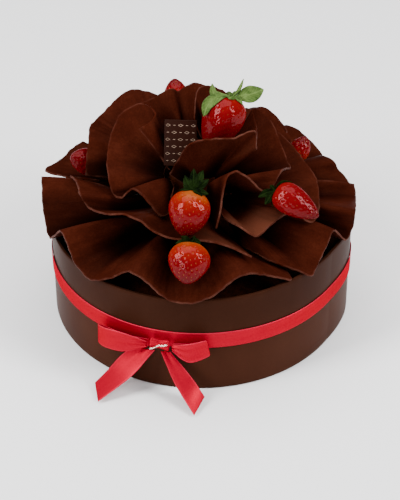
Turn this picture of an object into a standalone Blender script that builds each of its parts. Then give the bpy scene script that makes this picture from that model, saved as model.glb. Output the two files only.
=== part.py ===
"""Chocolate cake: a round cake in a chocolate collar, tied with a satin ribbon and
topped with a dome of ruffled chocolate sheets, strawberries and a small plaque.

Metres, +Z up. The origin is the centre of the cake's base, and the bow faces -Y.
Points are (angle, radius, height) in degrees and millimetres round the cake's axis:
angle 0 is the front (-Y), +90 the right (+X).
"""
import math
import bpy
import bmesh
from mathutils import Matrix, Vector

MM = 0.001

# Driving dimensions
CAKE_RADIUS = 100 * MM          # outside of the collar
COLLAR_THICKNESS = 2.0 * MM
COLLAR_HEIGHT = 73.5 * MM
COLLAR_TILT = 2.2 * MM          # how much the rim rises on the right and falls on the left
COLLAR_LAP = 9                  # degrees by which the collar's ends overlap
COLLAR_SEAM = 86                # angle of the lap's outer end
GAP = 0.35 * MM                 # clearance between pieces that touch
LAP_STEP = COLLAR_THICKNESS + GAP
SHEET_THICKNESS = 1.6 * MM
RIBBON_WIDTH = 12 * MM
RIBBON_HEIGHT = 41.3 * MM       # height of the ribbon's middle
RIBBON_THICKNESS = 0.5 * MM
RIBBON_FALL = 10                # degrees in which the ribbon comes down from the collar's lap
AROUND = 72                     # segments round the cake
SHEET_ROWS = 2                  # spans between a ruffle's gathered and free edges
LEAF_THICKNESS = 0.7 * MM
SHARP_ANGLE = 40                # degrees

# Top of the cake under the ruffles, (radius, height) from the side to the middle: a shoulder
# and a core that carries the gathered ends of the ruffles
CAKE_TOP = ((96.5, 62), (90, 65), (75, 71), (60, 75), (47, 79.5), (41, 84), (34, 89), (28, 93),
            (26.5, 100), (24.5, 106), (20, 111), (14.5, 114.8), (9.5, 120), (5, 124), (0, 125))

# Ruffles, each one sheet of chocolate gathered at one point and free along a wavy edge.
# gather is (x, y, z) and droop the sheet's rise between gather and edge, in millimetres;
# inner is the least share of the way to the edge where the sheet begins, further out where the
# core is wider, and spans is the number of segments along the edge.
RUFFLES = {
    "ruffle_low_front": dict(gather=(-10, -26, 87), inner=0.28, droop=2, spans=48, edge=(
        (-92, 105.5, 95.5), (-81.5, 105, 85.5), (-72.5, 104.5, 72.5), (-65, 104, 82),
        (-59, 104, 93), (-55, 104, 88), (-51, 104, 78), (-47, 104.5, 75), (-42.5, 105, 73),
        (-38, 105, 76), (-34, 103, 79.5), (-30, 101, 84.5), (-27, 100, 88), (-23.5, 101, 88.5),
        (-19.5, 101, 85), (-14, 102, 77.5), (-9.5, 103.5, 74.5), (-6, 104.5, 74.5),
        (-1.5, 104, 75), (3.5, 103, 78), (8, 101, 82.5), (12.5, 99, 87.5), (16, 98, 89),
        (20.5, 98, 88.5), (26, 98, 84), (30.5, 99, 80), (35, 101, 76.5), (38, 88, 75))),
    "ruffle_low_right": dict(gather=(8, -20, 92), inner=0.28, droop=3, spans=40, edge=(
        (21, 64, 87), (25.5, 74, 87.5), (31, 86, 84.5), (40, 99, 77.5), (42.5, 105, 75),
        (45, 104, 77), (49.5, 102, 81.5), (54, 101, 86), (57, 100, 90), (59.5, 100.5, 91.5),
        (62, 102, 86), (65, 104.5, 78.5), (67, 106, 80), (69, 107, 86.5), (69.5, 107.5, 96.5),
        (85.5, 104, 87), (90, 103, 92))),
    "ruffle_low_back_right": dict(gather=(10, 6, 87), inner=0.34, droop=0, spans=40, edge=(
        (97.5, 104, 79), (100, 103.5, 79.5), (103.5, 102, 81), (106, 99, 84.5), (108, 96, 90),
        (112, 93, 90), (116, 93, 87), (120, 99, 80), (125, 103.5, 77), (130, 103, 81),
        (135, 99, 88), (140, 98, 89), (145, 101, 84), (150, 104, 78), (156, 104.5, 76.5),
        (162, 104, 78))),
    "ruffle_low_back_left": dict(gather=(-14, 4, 84), inner=0.34, droop=0, spans=42, edge=(
        (-94, 89.5, 93.5), (-98.5, 105.5, 92), (-106.5, 99, 92), (-113.5, 95, 95),
        (-119, 92, 96), (-123, 98, 86), (-127, 103, 77), (-132, 103.5, 77.5), (-137, 100, 84),
        (-142, 97, 90), (-147, 99, 87), (-152, 103, 79), (-157, 104.5, 76.5),
        (-163, 104, 79))),
    "ruffle_low_back": dict(gather=(0, 12, 93), inner=0.34, droop=1, spans=40, edge=(
        (144, 88, 96), (149, 96, 92), (155, 104, 85.5), (160, 106, 84), (165, 104, 88),
        (170.5, 100, 95), (176, 99, 97), (181, 101, 92), (186, 105, 84.5), (191, 106, 83),
        (196, 105, 86), (201, 101, 93), (206, 98, 96), (211, 96, 95))),
    "ruffle_mid_left": dict(gather=(-3, -17, 93), inner=0.25, droop=-3, spans=44, edge=(
        (-90, 86, 98.5), (-80, 82.5, 104.5), (-67.5, 84, 107.5), (-65.5, 82, 101),
        (-62, 80, 99), (-52.5, 80, 104), (-45, 80, 108.5), (-38.5, 78, 112),
        (-33.5, 78, 112.5), (-28.5, 78, 112), (-23.5, 78, 108), (-18.5, 78, 105.5),
        (-13, 78, 104), (-6.5, 78, 104), (-1.5, 77.5, 103.5), (4, 78, 103), (9, 79, 101.5),
        (15, 82, 98.5), (22, 87, 93))),
    "ruffle_mid_right": dict(gather=(6, -22, 101), inner=0.20, droop=-1, spans=44, edge=(
        (14, 62, 108), (20.5, 72, 106.5), (26.5, 80, 102.5), (34.5, 78, 105),
        (41, 77, 106.5), (47, 78, 107), (53, 80, 101), (55, 86, 97), (57, 88, 97),
        (60, 88, 100), (67.5, 84, 102), (74, 80, 106.5), (79.5, 77, 108), (88.5, 71, 108.5),
        (97, 67, 110), (104.5, 63.5, 112.5), (111.5, 60.5, 115), (117, 57, 117.5))),
    "ruffle_mid_back_left": dict(gather=(-20, 4, 106), inner=0.18, droop=0, spans=36, edge=(
        (-87, 75.5, 102), (-90, 75, 111.5), (-95.5, 74.5, 116), (-100.5, 75, 121),
        (-109.5, 77.5, 121.5), (-121, 78, 120.5), (-130, 77.5, 124), (-135, 76.5, 127),
        (-140, 76, 128.5), (-144, 74, 128.5), (-149.5, 69.5, 126.5), (-154, 64.5, 125),
        (-160, 66, 118), (-166, 70, 112))),
    "ruffle_mid_back": dict(gather=(4, 10, 101), inner=0.22, droop=0, spans=40, edge=(
        (124, 72, 103), (131, 79, 101), (137, 78, 108), (144, 77, 112), (151, 79, 108),
        (158, 84, 101), (165, 83, 102), (172, 78, 110), (179, 77, 112), (186, 80, 105),
        (193, 84, 100), (200, 82, 103), (207, 78, 108))),
    "ruffle_high_left": dict(gather=(-16, -16, 108), inner=0.16, droop=0, spans=56, edge=(
        (-20.5, 50, 103.5), (-22.5, 57, 104), (-25.5, 60, 106), (-31.5, 60, 112),
        (-38.5, 59, 116), (-45, 60, 118), (-50.5, 60, 112.5), (-54.5, 62, 106.5),
        (-61.5, 63, 104), (-64.5, 64, 108), (-71.5, 63, 113), (-82.5, 61.5, 116.5),
        (-92, 60, 122), (-99.5, 59, 126.5), (-105, 57.5, 131), (-111, 55.5, 135),
        (-115.5, 51, 138.5), (-119.5, 44.5, 141.5), (-119, 37, 141), (-111, 31, 140.5),
        (-97.5, 31, 140.5), (-91, 35, 138.5), (-90, 39.5, 136))),
    "ruffle_high_front": dict(gather=(2, -26, 106), inner=0.22, droop=0, spans=72, edge=(
        (-42, 29.5, 116), (-32, 30, 125.5), (-24.5, 30, 133.5), (-17, 30, 141), (-5.5, 30, 146),
        (6.5, 30, 147.5), (22, 31, 147.5), (38, 33, 146), (49.5, 36, 147), (55.5, 40, 149.5),
        (59.5, 42, 146.5), (57, 43, 136.5), (86, 37, 138), (105.5, 36, 144.5),
        (102.5, 42, 142),
        (102, 49, 133), (92, 53, 124), (82, 58, 116.5), (75, 61, 116), (57, 63, 127),
        (50.5, 62, 120.5), (41, 62, 119.5), (33.5, 57, 129.5), (26.5, 54, 135.5),
        (20.5, 54, 135.5), (17, 56, 133), (14, 59, 123), (11.5, 65, 116), (9.5, 69, 111),
        (8.5, 70, 107))),
    "ruffle_high_back": dict(gather=(8, 4, 104), inner=0.22, droop=0, spans=42, edge=(
        (111.5, 65, 107), (115, 67, 111), (122, 64, 115), (129.5, 59.5, 118.5),
        (138.5, 56, 121.5), (146, 56, 122), (155, 60, 116), (164, 57, 122), (173, 55, 125),
        (182, 58, 118), (191, 60, 116), (200, 58, 121))),
    "ruffle_crown_back": dict(gather=(-8, 4, 112), inner=0.18, droop=0, spans=30, edge=(
        (-121, 54, 130.5), (-127, 51.5, 135), (-136, 47.5, 137), (-146, 41, 143.5),
        (-152.5, 39.5, 145), (-158, 39, 142), (-166, 38, 145.5), (-172.5, 38.5, 147),
        (-180.5, 38, 147), (-188.5, 36.5, 146))),
    "ruffle_crown_right": dict(gather=(8, 2, 112), inner=0.12, droop=0, spans=28, edge=(
        (-162.5, 12.5, 136.5), (-170.5, 18.5, 143.5), (-176, 24, 150.5), (-187, 28, 151.5),
        (-199, 30.5, 150), (-213.5, 33.5, 145.5), (-230.5, 34.5, 140.5))),
}
ROOT_EASE = 4                   # neighbours averaged each way where a sheet is gathered
ROOT_CLEARANCE = 1.8 * MM       # height of a sheet's middle over the core at its root

# Bow: each strip is two edges through (angle, radius, height) points
KNOT = (-14, 105.4, 39.8)
KNOT_SIZE = Vector((13, 6, 10.5)) * MM
LOOP_SPANS = 20
TAIL_SPANS = 10
BOW_STRIPS = {
    "bow_loop_left": (
        ((-18.5, 105.8, 41), (-26, 110, 46.5), (-33, 110.5, 45.5), (-37.4, 107, 42),
         (-38, 104.4, 39.5), (-36, 102.6, 38.5), (-27, 102.4, 38.5), (-18.5, 102.6, 40)),
        ((-18.5, 105.8, 36), (-26, 110, 31), (-33, 110.5, 29), (-37.6, 107, 26.5),
         (-38.2, 104.4, 27), (-36, 102.6, 28), (-27, 102.4, 31), (-18.5, 102.6, 34))),
    "bow_loop_right": (
        ((-9.5, 105.8, 41), (-5, 108.5, 44.5), (-1, 109, 47), (1.8, 106, 46),
         (2.4, 104, 43.5), (1, 102.5, 41.5), (-4, 102.4, 40), (-9.5, 102.6, 40)),
        ((-9.5, 105.8, 36), (-5.5, 108.5, 31.5), (-2.3, 109, 30.5), (2.8, 106.5, 33),
         (3.4, 104.2, 34), (2, 102.5, 34.5), (-4, 102.4, 34.5), (-9.5, 102.6, 34.5))),
    "bow_tail_left": (
        ((-25, 103.8, 30.5), (-29, 107, 21.5), (-32, 112, 12), (-34.5, 120, 4)),
        ((-16, 103.8, 33), (-18, 107, 28), (-22.5, 115, 16), (-29.8, 131.5, 1.4))),
    "bow_tail_right": (
        ((-13.8, 103.8, 33), (-11.3, 107, 24), (-7.8, 112, 12), (-1.6, 127, 1.4)),
        ((-10.5, 103.6, 33), (-5.2, 106.5, 22.5), (-1.4, 109, 13), (1.6, 112.5, 4))),
}

# Strawberries: centre (x, y, z), half-width and half-length in millimetres, the way that the
# tip points and how blunt it is
BERRIES = {
    "strawberry_top": ((13.2, -1.3, 140), 14.3, 19.5, (-0.45, -0.35, -1.0), 0.66),
    "strawberry_middle": ((-7.0, -67, 116.8), 14, 14.8, (-0.2, -0.45, -1.0), 0.8),
    "strawberry_front": ((-6.9, -91.5, 96.3), 13.9, 13.2, (-0.1, -0.85, -0.5), 0.8),
    "strawberry_right": ((61, -57.3, 117.2), 10.3, 15.8, (0.87, -0.45, -0.33), 0.62),
    "strawberry_left": ((-77, 10, 104), 9.5, 12, (-0.6, -0.5, 0.6), 0.7),
    "strawberry_back": ((-16, 47.8, 132.8), 9, 10, (-0.1, 0.5, 1.0), 0.8),
    "strawberry_back_right": ((67.5, 24, 104.5), 7.6, 9, (0.5, 0.2, 1.0), 0.8),
}
BERRY_RINGS = 8
BERRY_SIDES = 16

# Calyxes: for each leaf the turn from the right (+X) towards the back, its length, half its
# angle at the base and the rise of its tip, in degrees and millimetres
CALYXES = {
    "calyx_top": ("strawberry_top", (
        (5, 19, 28, 6), (60, 13, 20, 12), (145, 14, 26, 6), (168, 15, 22, 5),
        (212, 23, 26, 0), (290, 10, 28, 0))),
    "calyx_middle": ("strawberry_middle", (
        (20, 10, 28, 2), (75, 13, 24, 4), (130, 12, 26, 3), (190, 11, 28, 1),
        (250, 8, 28, 0), (310, 8, 28, 0))),
    "calyx_front": ("strawberry_front", (
        (30, 6, 28, 0), (90, 6, 26, 1), (150, 11, 26, 0), (205, 8, 26, 0),
        (270, 7, 28, 0), (330, 7, 28, 0))),
    "calyx_right": ("strawberry_right", (
        (10, 5, 28, 0), (75, 4.6, 26, 0), (135, 4.8, 26, 0), (190, 8.5, 28, 1),
        (245, 9, 28, 1), (310, 7, 28, 0))),
}
CALYX_SEGMENTS = 30
CALYX_ROWS = 3
CALYX_NECK = 4                  # mm from the middle to the notches between the leaves

# Plaque: a thin slab that leans back in the crown
PLAQUE_SIZE = Vector((21, 1.4, 30)) * MM
PLAQUE_CENTRE = Vector((-12.5, -8, 130)) * MM
PLAQUE_LEAN = 27                # degrees back from upright
PLAQUE_TURN = -3                # degrees about the vertical


def polar(point):
    """World position of (angle, radius, height) in degrees and millimetres."""
    angle, radius, height = point
    turn = math.radians(angle)
    return Vector((radius * math.sin(turn), -radius * math.cos(turn), height)) * MM


def smooth_path(points, count):
    """count + 1 evenly spaced positions on a Catmull-Rom curve through the points."""
    ends = [points[0] * 2 - points[1], *points, points[-1] * 2 - points[-2]]
    fine = []
    steps = 24
    for a, b, c, d in zip(ends, ends[1:], ends[2:], ends[3:]):
        for k in range(steps):
            t = k / steps
            fine.append(0.5 * (2 * b + (c - a) * t + (2 * a - 5 * b + 4 * c - d) * t ** 2
                               + (3 * b - a - 3 * c + d) * t ** 3))
    fine.append(points[-1])
    lengths = [0.0]
    for p, q in zip(fine, fine[1:]):
        lengths.append(lengths[-1] + (q - p).length)
    path = []
    i = 0
    for k in range(count + 1):
        along = lengths[-1] * k / count
        while i < len(fine) - 2 and lengths[i + 1] < along:
            i += 1
        share = (along - lengths[i]) / (lengths[i + 1] - lengths[i])
        path.append(fine[i].lerp(fine[i + 1], min(share, 1.0)))
    return path


def material(name, colour, roughness):
    """A Principled material with the given linear colour."""
    mat = bpy.data.materials.new(name)
    mat.use_nodes = True
    shader = mat.node_tree.nodes["Principled BSDF"]
    shader.inputs["Base Color"].default_value = (*colour, 1.0)
    shader.inputs["Roughness"].default_value = roughness
    mat.diffuse_color = (*colour, 1.0)
    return mat


def add_object(name, bm, mat):
    """Turn a bmesh into a named object of the cake's collection."""
    mesh = bpy.data.meshes.new(name)
    bm.to_mesh(mesh)
    bm.free()
    mesh.shade_smooth()
    mesh.set_sharp_from_angle(angle=math.radians(SHARP_ANGLE))
    mesh.materials.append(mat)
    obj = bpy.data.objects.new(name, mesh)
    CAKE.objects.link(obj)
    return obj


def grid_surface(rows, closed=False):
    """An open surface through rows of points, every cell split along the same diagonal."""
    bm = bmesh.new()
    verts = [[bm.verts.new(point) for point in row] for row in rows]
    if closed:
        verts.append(verts[0])
    for low, high in zip(verts, verts[1:]):
        for k in range(len(low) - 1):
            bm.faces.new((low[k], high[k], high[k + 1]))
            bm.faces.new((low[k], high[k + 1], low[k + 1]))
    return bm


def solidify(obj, thickness):
    """Give an open surface its thickness, half to each side."""
    shell = obj.modifiers.new("thickness", "SOLIDIFY")
    shell.thickness = thickness
    shell.offset = 0


def eased(points, reach):
    """Each point averaged with its neighbours, so that the gathered folds stay open."""
    soft = []
    for k in range(len(points)):
        near = points[max(0, k - reach):k + reach + 1]
        soft.append(sum(near, Vector()) / len(near))
    return soft


def core_radius(height):
    """Radius of the cake at a height above its shoulder, 0 above its top."""
    for (r0, z0), (r1, z1) in zip(CAKE_TOP, CAKE_TOP[1:]):
        if z0 * MM <= height < z1 * MM:
            return (r0 + (r1 - r0) * (height / MM - z0) / (z1 - z0)) * MM
    return 0.0 if height > CAKE_TOP[0][1] * MM else CAKE_RADIUS


def rooted(centre, point, inner):
    """Where the ridge from the gather to a point of the edge begins, clear of the core."""
    share = inner
    start = centre.lerp(point, share)
    while start.xy.length < core_radius(start.z - ROOT_CLEARANCE):
        share += 0.01
        start = centre.lerp(point, share)
    return start


def add_ruffle(name, gather, inner, droop, spans, edge):
    """One ruffled sheet: straight ridges run from the gathered root to the wavy edge."""
    centre = Vector(gather) * MM
    rim = smooth_path([polar(point) for point in edge], spans)
    root = [rooted(centre, point, inner) for point in eased(rim, ROOT_EASE)]
    rows = []
    for low, high in zip(root, rim):
        row = []
        for k in range(SHEET_ROWS + 1):
            share = k / SHEET_ROWS
            point = low.lerp(high, share)
            point.z += droop * MM * 4 * share * (1 - share)
            row.append(point)
        rows.append(row)
    obj = add_object(name, grid_surface(rows), CHOCOLATE)
    solidify(obj, SHEET_THICKNESS)


def add_cake():
    """The cake itself: a turned body whose top rises to carry the ruffles."""
    profile = bmesh.new()
    side = CAKE_RADIUS - COLLAR_THICKNESS - GAP
    points = [(r * MM, z * MM) for r, z in reversed(CAKE_TOP)]
    points += [(side, (CAKE_TOP[0][1] - 1) * MM), (side, 0), (0, 0)]
    verts = [profile.verts.new((r, 0, z)) for r, z in points]
    for a, b in zip(verts, verts[1:]):
        profile.edges.new((a, b))
    obj = add_object("cake", profile, CHOCOLATE)
    turn = obj.modifiers.new("turn", "SCREW")
    turn.steps = turn.render_steps = AROUND // 2
    turn.use_merge_vertices = True
    turn.merge_threshold = 0.01 * MM


def collar_rim(angle):
    """Height of the collar's rim, which is not quite level."""
    return COLLAR_HEIGHT + COLLAR_TILT * math.sin(math.radians(angle))


def strip_point(angle, radius, height):
    """World position from an angle in degrees and lengths in metres."""
    turn = math.radians(angle)
    return Vector((radius * math.sin(turn), -radius * math.cos(turn), height))


def lap_rise(ahead):
    """Share of the step over its own start that the collar has made, at so many degrees
    ahead of its outer end."""
    return min(1.0, max(0.0, (3 * COLLAR_LAP - ahead) / (2 * COLLAR_LAP)))


def add_collar():
    """A chocolate band wrapped round the cake, its outer end lapping over its start."""
    middle = CAKE_RADIUS - COLLAR_THICKNESS / 2
    rows = []
    sweep = 360 + COLLAR_LAP
    for k in range(AROUND + 1):
        ahead = sweep * (1 - k / AROUND)
        angle = COLLAR_SEAM - ahead
        radius = middle + LAP_STEP * lap_rise(ahead)
        rows.append([strip_point(angle, radius, 0),
                     strip_point(angle, radius, collar_rim(angle))])
    obj = add_object("collar", grid_surface(rows), COLLAR)
    solidify(obj, COLLAR_THICKNESS)


def ribbon_radius(angle):
    """Radius of the ribbon's middle as it lies on the collar and over its lap."""
    ahead = (COLLAR_SEAM - angle) % 360
    fall = max(0.0, 1 - (360 - ahead) / RIBBON_FALL)
    return (CAKE_RADIUS + GAP + RIBBON_THICKNESS / 2
            + LAP_STEP * max(lap_rise(ahead), fall))


def add_ribbon():
    """The satin ribbon round the collar."""
    low = RIBBON_HEIGHT - RIBBON_WIDTH / 2
    rows = []
    for k in range(AROUND):
        angle = COLLAR_SEAM + 360 * k / AROUND
        radius = ribbon_radius(angle)
        rows.append([strip_point(angle, radius, low),
                     strip_point(angle, radius, low + RIBBON_WIDTH)])
    obj = add_object("ribbon_band", grid_surface(rows, closed=True), SATIN)
    solidify(obj, RIBBON_THICKNESS)


def add_bow():
    """Knot, two loops and two tails of the same ribbon."""
    for name, (first, second) in BOW_STRIPS.items():
        spans = LOOP_SPANS if "loop" in name else TAIL_SPANS
        upper = smooth_path([polar(point) for point in first], spans)
        lower = smooth_path([polar(point) for point in second], spans)
        rows = [[a, a.lerp(b, 0.5), b] for a, b in zip(upper, lower)]
        obj = add_object(name, grid_surface(rows), SATIN)
        solidify(obj, RIBBON_THICKNESS)
    knot = bmesh.new()
    bmesh.ops.create_uvsphere(knot, u_segments=14, v_segments=8, radius=0.5)
    bmesh.ops.scale(knot, vec=KNOT_SIZE, verts=knot.verts)
    obj = add_object("bow_knot", knot, SATIN)
    obj.location = polar(KNOT)
    obj.rotation_euler.z = math.radians(KNOT[0])


def turned_to(axis):
    """Rotation that takes +Z to the axis and keeps +X as far to the right as it can be."""
    up = Vector(axis).normalized()
    right = (Vector((1, 0, 0)) - up * up.x).normalized()
    return Matrix((right, up.cross(right), up)).transposed().to_euler()


def berry_profile(share, blunt):
    """Radius of a strawberry from 0 at the calyx to 1 at the tip, as a share of its half-width."""
    return math.sin(math.pi * share ** blunt) ** 0.55 * (1 - 0.08 * share)


def add_berry(name, centre, half_width, half_length, tip, blunt):
    """A strawberry turned from its profile, with its tip along the given way."""
    bm = bmesh.new()
    bmesh.ops.create_uvsphere(bm, u_segments=BERRY_SIDES, v_segments=BERRY_RINGS, radius=1)
    for vert in bm.verts:
        ring = vert.co.xy.length
        if ring > 1e-6:
            vert.co.xy *= half_width * berry_profile((1 - vert.co.z) / 2, blunt) / ring
        vert.co.z *= half_length
        vert.co *= MM
    obj = add_object(name, bm, BERRY)
    obj.location = Vector(centre) * MM
    obj.rotation_euler = turned_to(-Vector(tip))


def leaf_shape(turn, leaves):
    """Reach and rise of a calyx, in millimetres, in the direction of a turn in degrees."""
    reach, rise = CALYX_NECK, 0.0
    for leaf_turn, length, half_angle, lift in leaves:
        off = abs((turn - leaf_turn + 180) % 360 - 180) / half_angle
        if off < 1 and CALYX_NECK + (length - CALYX_NECK) * (1 - off) > reach:
            reach = CALYX_NECK + (length - CALYX_NECK) * (1 - off)
            rise = lift * (1 - off)
    return reach, rise


def add_calyx(name, berry, leaves):
    """The green star of leaves that lies on the broad end of a strawberry."""
    centre, _, half_length, tip, _ = BERRIES[berry]
    axis = -Vector(tip).normalized()
    rows = []
    for k in range(CALYX_SEGMENTS):
        turn = 360 * k / CALYX_SEGMENTS
        reach, rise = leaf_shape(turn, leaves)
        way = Vector((math.cos(math.radians(turn)), math.sin(math.radians(turn)), 0))
        rows.append([way * reach * MM * (j / CALYX_ROWS)
                     + Vector((0, 0, rise * MM * (j / CALYX_ROWS) ** 2))
                     for j in range(CALYX_ROWS + 1)])
    bm = grid_surface(rows, closed=True)
    bmesh.ops.remove_doubles(bm, verts=bm.verts, dist=0.01 * MM)
    obj = add_object(name, bm, LEAF)
    obj.location = Vector(centre) * MM + axis * (half_length * MM + GAP + LEAF_THICKNESS / 2)
    obj.rotation_euler = turned_to(axis)
    solidify(obj, LEAF_THICKNESS)


def add_plaque():
    """The small flat chocolate plaque."""
    bm = bmesh.new()
    bmesh.ops.create_cube(bm, size=1)
    bmesh.ops.scale(bm, vec=PLAQUE_SIZE, verts=bm.verts)
    obj = add_object("plaque", bm, CHOCOLATE)
    obj.location = PLAQUE_CENTRE
    obj.rotation_euler = (math.radians(-PLAQUE_LEAN), 0, math.radians(PLAQUE_TURN))


for old in list(bpy.data.objects):
    bpy.data.objects.remove(old)
CAKE = bpy.data.collections.new("chocolate_cake")
bpy.context.scene.collection.children.link(CAKE)

CHOCOLATE = material("chocolate_sheet", (0.065, 0.020, 0.010), 0.45)
COLLAR = material("chocolate_collar", (0.060, 0.022, 0.014), 0.35)
SATIN = material("red_satin", (0.62, 0.010, 0.018), 0.35)
BERRY = material("strawberry", (0.45, 0.012, 0.010), 0.2)
LEAF = material("calyx_leaf", (0.13, 0.26, 0.035), 0.45)

add_cake()
add_collar()
add_ribbon()
add_bow()
for ruffle, shape in RUFFLES.items():
    add_ruffle(ruffle, **shape)
for berry, shape in BERRIES.items():
    add_berry(berry, *shape)
for calyx, shape in CALYXES.items():
    add_calyx(calyx, *shape)
add_plaque()
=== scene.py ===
"""The chocolate cake's looks: its collar, ruffled sheets, glazed strawberries with their
calyxes, satin ribbon and bow, and printed plaque.

Metres, +Z up, the bow facing -Y. Points are (angle, radius, height) in degrees and
millimetres round the cake's axis, angle 0 at the front (-Y) and +90 at the right (+X),
or (x, y, z) in millimetres where that is said.
"""
import math

import bpy
import numpy as np
from mathutils import Matrix, Vector


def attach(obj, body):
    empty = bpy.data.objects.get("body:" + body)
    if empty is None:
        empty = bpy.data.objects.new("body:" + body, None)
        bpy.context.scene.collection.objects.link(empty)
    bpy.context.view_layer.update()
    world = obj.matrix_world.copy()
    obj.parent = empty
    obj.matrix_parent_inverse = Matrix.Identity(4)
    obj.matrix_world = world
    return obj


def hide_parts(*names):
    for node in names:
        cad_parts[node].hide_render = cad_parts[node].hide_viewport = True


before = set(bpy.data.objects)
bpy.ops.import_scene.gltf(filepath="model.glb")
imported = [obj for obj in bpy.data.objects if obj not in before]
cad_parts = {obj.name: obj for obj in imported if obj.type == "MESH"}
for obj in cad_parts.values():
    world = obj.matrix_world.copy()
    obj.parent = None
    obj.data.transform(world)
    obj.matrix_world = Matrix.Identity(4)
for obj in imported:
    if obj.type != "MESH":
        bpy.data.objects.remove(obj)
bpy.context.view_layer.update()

MM = 0.001

# Camera: it looks along +Y and down at the cake
CAMERA_TARGET = Vector((0.18, 0, 36.64)) * MM
CAMERA_DISTANCE = 1.1
CAMERA_ELEVATION = 37.56  # degrees
CAMERA_LENS = 115.5  # mm, for a sensor 36 mm long

# Lights: size across and up, power and place, in metres and watts
LIGHTS = {
    "overhead": ((2.4, 1.8), 62, (0, 0.5, 2)),
    "left_softbox": ((0.5, 1.3), 46, (-1.2, -0.6, 1.1)),
    "right_softbox": ((0.45, 1.3), 40, (1.15, -0.5, 1)),
    "front_strip": ((0.25, 0.5), 6, (-0.75, -1.1, 0.36)),
}
LIGHT_AIM = (0, 0, 0.06)
SURROUND = ((0.94, 0.95, 1, 1), 0.15)  # colour and strength
FLOOR_REACH = 4000  # mm from the middle to the floor's edges
FLOOR_DROP = 0.5  # mm between the cake and the floor
FLOOR_COLOUR = (0.83, 0.83, 0.835)

# In mm and degrees as in the part, but the ribbon and the sheets are thinner
CAKE_RADIUS = 100
COLLAR_THICKNESS = 2
COLLAR_HEIGHT = 73.5
COLLAR_TILT = 2.2
COLLAR_LAP = 9
COLLAR_SEAM = 86
GAP = 0.35
LAP_STEP = COLLAR_THICKNESS + GAP
SHEET_THICKNESS = 1.2
RIBBON_WIDTH = 12
RIBBON_HEIGHT = 41.3
RIBBON_THICKNESS = 0.35
RIBBON_FALL = 10
RIBBON_SWAY = 0.25  # mm its edges wander
RIBBON_GRID = (541, 14)  # points round it and across it
COLLAR_GRID = (560, 26)  # points round the collar and up it
COLLAR_WAVE = 0.12  # mm its rim and its side wander
RIM_WAVE = 0.08  # mm the rim wanders in and out
COLLAR_INSET = 0.05  # mm it is smaller here, twice that at the rim
CAKE_INSET = 0.6  # mm the cake is smaller here, for its crumbs
CRUMB_RELIEF = 0.5  # mm
CAKE_SPACING = (2.5, 2)  # mm along its profile and degrees round it
CAKE_TOP = ((96.5, 62), (90, 65), (75, 71), (60, 75), (47, 79.5), (41, 84), (34, 89), (28, 93),
            (26.5, 100), (24.5, 106), (20, 111), (14.5, 114.8), (9.5, 120), (5, 124), (0, 125))

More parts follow.
